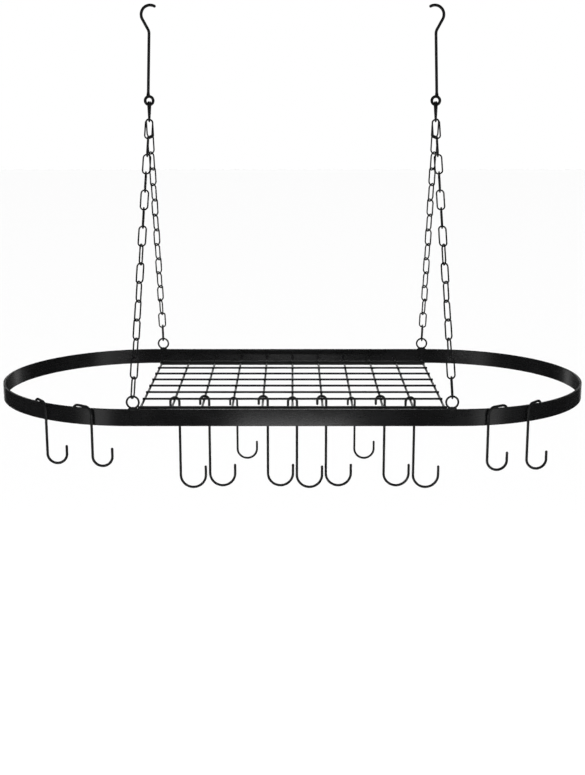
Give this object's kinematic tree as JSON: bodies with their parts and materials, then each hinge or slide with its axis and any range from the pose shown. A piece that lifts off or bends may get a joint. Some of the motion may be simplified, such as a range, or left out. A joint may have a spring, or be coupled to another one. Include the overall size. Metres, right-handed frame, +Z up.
{
  "type": "hanging pot rack",
  "caption": "Oval flat-bar pot rack with a wire grid, hung level on link chains from ceiling hooks, with long wire hooks for pans on its grid and rim.",
  "frame": {"origin": "midway between the seats of the two ceiling hooks, where the rack hangs from the ceiling", "axes": "+X along the rack's length, +Y towards its back, +Z up"},
  "size_m": [0.838, 0.4132, 0.6648],
  "materials": {
    "band": "satin black powder coat",
    "grid": "satin black powder coat on round wire and rod",
    "chain": "satin black coat on chain wire",
    "hook": "satin black coat on bent wire"
  },
  "bodies": {
    "ceiling_hooks": {"left_ceiling_hook": "hook", "right_ceiling_hook": "hook"},
    "left_top_links": {"left_front_top_link": "chain", "left_back_top_link": "chain"},
    "right_top_links": {"right_front_top_link": "chain", "right_back_top_link": "chain"},
    "left_chains": {"left_front_chain": "chain", "left_back_chain": "chain"},
    "right_chains": {"right_front_chain": "chain", "right_back_chain": "chain"},
    "rack": {"oval_band": "band", "front_rail": "grid", "back_rail": "grid", "long_wires": "grid", "cross_wires": "grid", "left_front_ring": "chain", "left_back_ring": "chain", "right_front_ring": "chain", "right_back_ring": "chain"},
    "grid_hook_1_body": {"grid_hook_1": "hook"},
    "grid_hook_2_body": {"grid_hook_2": "hook"},
    "grid_hook_3_body": {"grid_hook_3": "hook"},
    "grid_hook_4_body": {"grid_hook_4": "hook"},
    "grid_hook_5_body": {"grid_hook_5": "hook"},
    "grid_hook_6_body": {"grid_hook_6": "hook"},
    "grid_hook_7_body": {"grid_hook_7": "hook"},
    "grid_hook_8_body": {"grid_hook_8": "hook"},
    "grid_hook_9_body": {"grid_hook_9": "hook"},
    "rim_hook_1_body": {"rim_hook_1": "hook"},
    "rim_hook_2_body": {"rim_hook_2": "hook"},
    "rim_hook_3_body": {"rim_hook_3": "hook"},
    "rim_hook_4_body": {"rim_hook_4": "hook"}
  },
  "joints": [
    {"name": "left_fore_aft_swing", "type": "hinge", "parent": "ceiling_hooks", "child": "left_top_links", "pos_m": [-0.2, 0, -0.13151], "axis": [1, 0, 0], "range_deg": [-12, 12]},
    {"name": "right_fore_aft_swing", "type": "hinge", "parent": "ceiling_hooks", "child": "right_top_links", "pos_m": [0.2, 0, -0.13151], "axis": [1, 0, 0], "range_deg": [-12, 12]},
    {"name": "left_side_swing", "type": "hinge", "parent": "left_top_links", "child": "left_chains", "pos_m": [-0.20054, 0, -0.15372], "axis": [0, 1, 0], "range_deg": [-10, 10]},
    {"name": "right_side_swing", "type": "hinge", "parent": "right_top_links", "child": "right_chains", "pos_m": [0.20054, 0, -0.15372], "axis": [0, 1, 0], "range_deg": [-10, 10]},
    {"name": "rack_levelling", "type": "hinge", "parent": "left_chains", "child": "rack", "pos_m": [-0.209, 0, -0.51002], "axis": [0, 1, 0], "range_deg": [-9.6, 9.6]},
    {"name": "grid_hook_1_swing", "type": "hinge", "parent": "rack", "child": "grid_hook_1_body", "pos_m": [-0.164, -0.096, -0.53227], "axis": [0, 1, 0], "range_deg": [-20, 20]},
    {"name": "grid_hook_2_swing", "type": "hinge", "parent": "rack", "child": "grid_hook_2_body", "pos_m": [-0.123, -0.088, -0.53227], "axis": [0, 1, 0], "range_deg": [-20, 20]},
    {"name": "grid_hook_3_swing", "type": "hinge", "parent": "rack", "child": "grid_hook_3_body", "pos_m": [-0.082, -0.096, -0.53227], "axis": [0, 1, 0], "range_deg": [-20, 20]},
    {"name": "grid_hook_4_swing", "type": "hinge", "parent": "rack", "child": "grid_hook_4_body", "pos_m": [-0.041, -0.088, -0.53227], "axis": [0, 1, 0], "range_deg": [-20, 20]},
    {"name": "grid_hook_5_swing", "type": "hinge", "parent": "rack", "child": "grid_hook_5_body", "pos_m": [0, -0.096, -0.53227], "axis": [0, 1, 0], "range_deg": [-20, 20]},
    {"name": "grid_hook_6_swing", "type": "hinge", "parent": "rack", "child": "grid_hook_6_body", "pos_m": [0.041, -0.088, -0.53227], "axis": [0, 1, 0], "range_deg": [-20, 20]},
    {"name": "grid_hook_7_swing", "type": "hinge", "parent": "rack", "child": "grid_hook_7_body", "pos_m": [0.082, -0.096, -0.53227], "axis": [0, 1, 0], "range_deg": [-20, 20]},
    {"name": "grid_hook_8_swing", "type": "hinge", "parent": "rack", "child": "grid_hook_8_body", "pos_m": [0.123, -0.088, -0.53227], "axis": [0, 1, 0], "range_deg": [-20, 20]},
    {"name": "grid_hook_9_swing", "type": "hinge", "parent": "rack", "child": "grid_hook_9_body", "pos_m": [0.164, -0.096, -0.53227], "axis": [0, 1, 0], "range_deg": [-20, 20]},
    {"name": "rim_hook_1_swing", "type": "hinge", "parent": "rack", "child": "rim_hook_1_body", "pos_m": [-0.33756, -0.1608, -0.51932], "axis": [-0.7972, 0.6037, 0], "range_deg": [-5, 7]},
    {"name": "rim_hook_2_swing", "type": "hinge", "parent": "rack", "child": "rim_hook_2_body", "pos_m": [-0.27635, -0.1924, -0.51932], "axis": [-0.9539, 0.3002, 0], "range_deg": [-5, 7]},
    {"name": "rim_hook_3_swing", "type": "hinge", "parent": "rack", "child": "rim_hook_3_body", "pos_m": [0.26965, -0.19437, -0.51932], "axis": [-0.9637, -0.267, 0], "range_deg": [-5, 7]},
    {"name": "rim_hook_4_swing", "type": "hinge", "parent": "rack", "child": "rim_hook_4_body", "pos_m": [0.32266, -0.17106, -0.51932], "axis": [-0.8481, -0.5298, 0], "range_deg": [-5, 7]}
  ],
  "couplings": [
    {"joint": "right_fore_aft_swing", "follows": "left_fore_aft_swing", "ratio": 1},
    {"joint": "right_side_swing", "follows": "left_side_swing", "ratio": 1},
    {"joint": "rack_levelling", "follows": "left_side_swing", "ratio": -0.95952}
  ]
}
